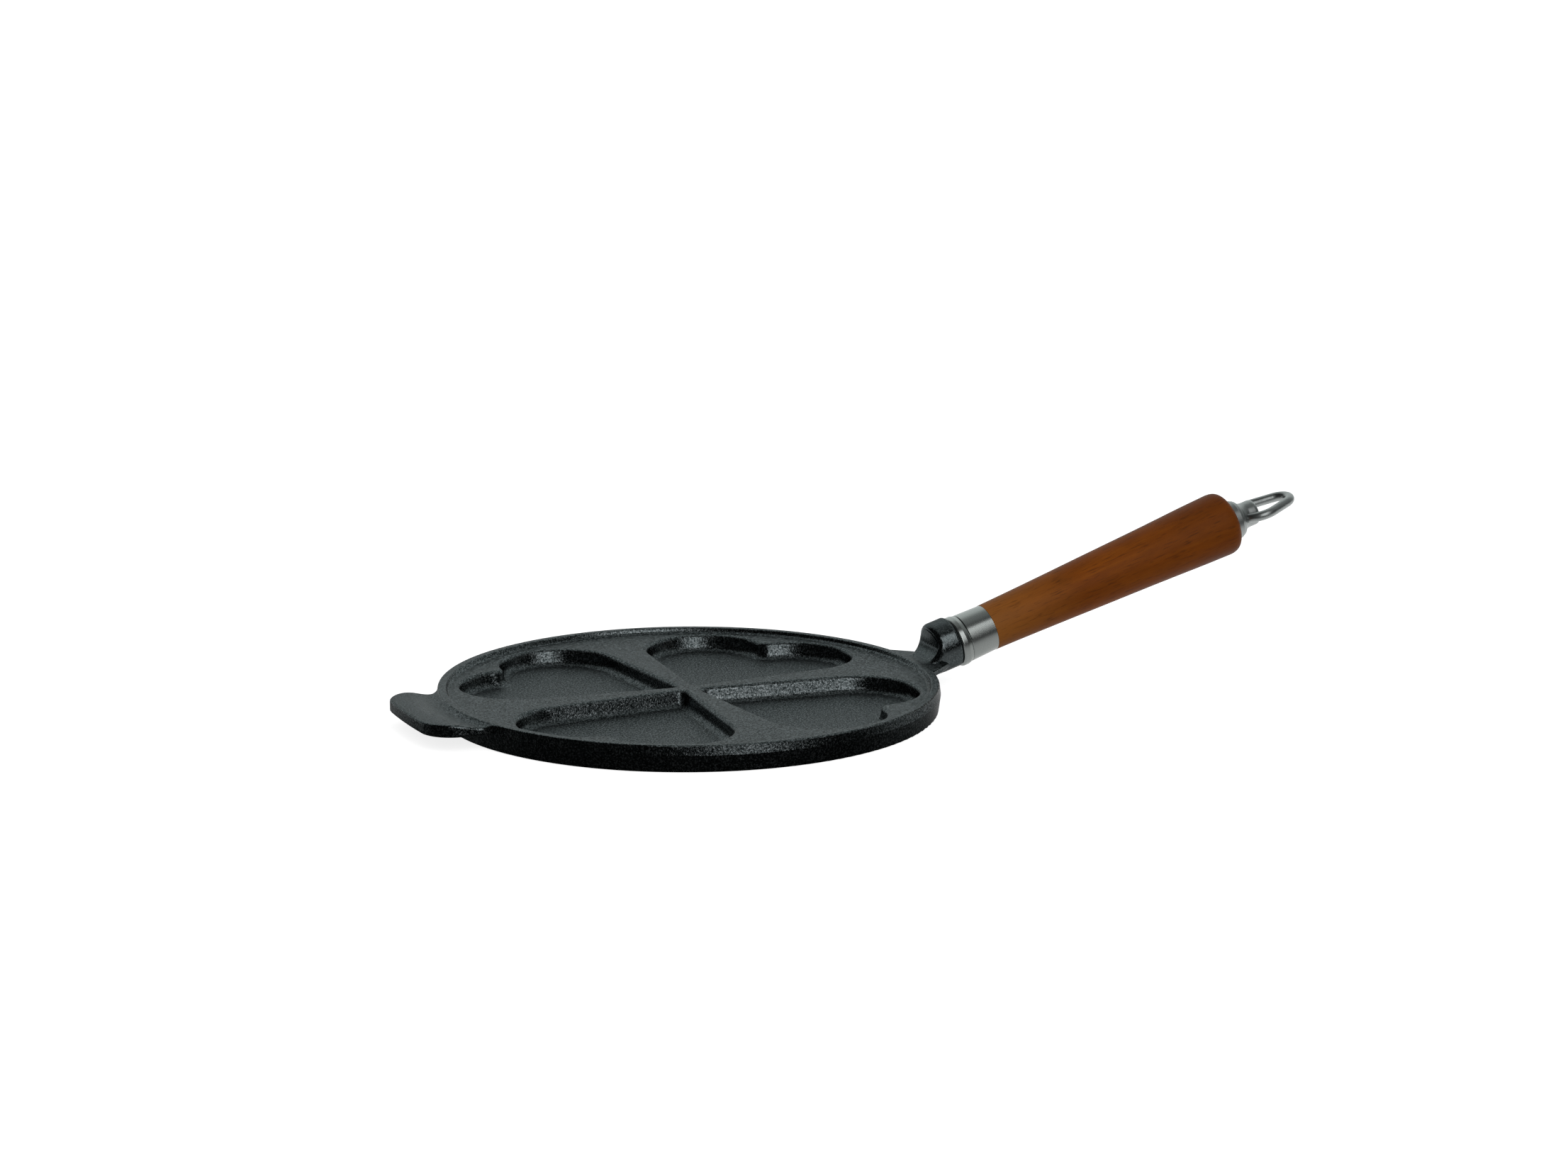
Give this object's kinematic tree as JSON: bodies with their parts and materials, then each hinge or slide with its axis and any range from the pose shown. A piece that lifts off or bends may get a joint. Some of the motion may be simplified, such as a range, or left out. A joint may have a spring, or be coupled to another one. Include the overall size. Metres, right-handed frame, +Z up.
{
  "type": "heart pancake pan",
  "caption": "Round cast iron pancake pan with heart-shaped wells, a helper tab and a raised turned wooden handle that ends in a metal hanging eye.",
  "frame": {"origin": "centre of the disc's flat underside, on the surface that the pan stands on", "axes": "+X towards the handle, +Y to the left when looking along +X, +Z up"},
  "size_m": [0.4527, 0.23, 0.0777],
  "materials": {
    "cast_iron": "seasoned sand-cast surface, fine grain on the level faces and coarse grain on the walls",
    "ferrule_steel": "turned steel, satin",
    "oiled_wood": "turned hardwood, reddish brown, satin lacquer",
    "rod_steel": "rolled thread, bright",
    "eye_plating": "cast and plated, satin"
  },
  "bodies": {
    "pan": {"pan_casting": "cast_iron"},
    "grip": {"ferrule": "ferrule_steel", "wooden_grip": "oiled_wood"},
    "screw": {"threaded_rod": "rod_steel", "hanging_eye": "eye_plating"}
  },
  "joints": [
    {"name": "grip_slide", "type": "slide", "parent": "pan", "child": "grip", "axis": [0.9573, 0, 0.289], "range_m": [0, 0.0075]},
    {"name": "eye_screw", "type": "hinge", "parent": "grip", "child": "screw", "pos_m": [0.28148, 0, 0.0636], "axis": [0.9573, 0, 0.289], "range_deg": [0, 2161]}
  ],
  "couplings": [
    {"joint": "eye_screw", "follows": "grip_slide", "rad_per_m": 5026.5}
  ]
}
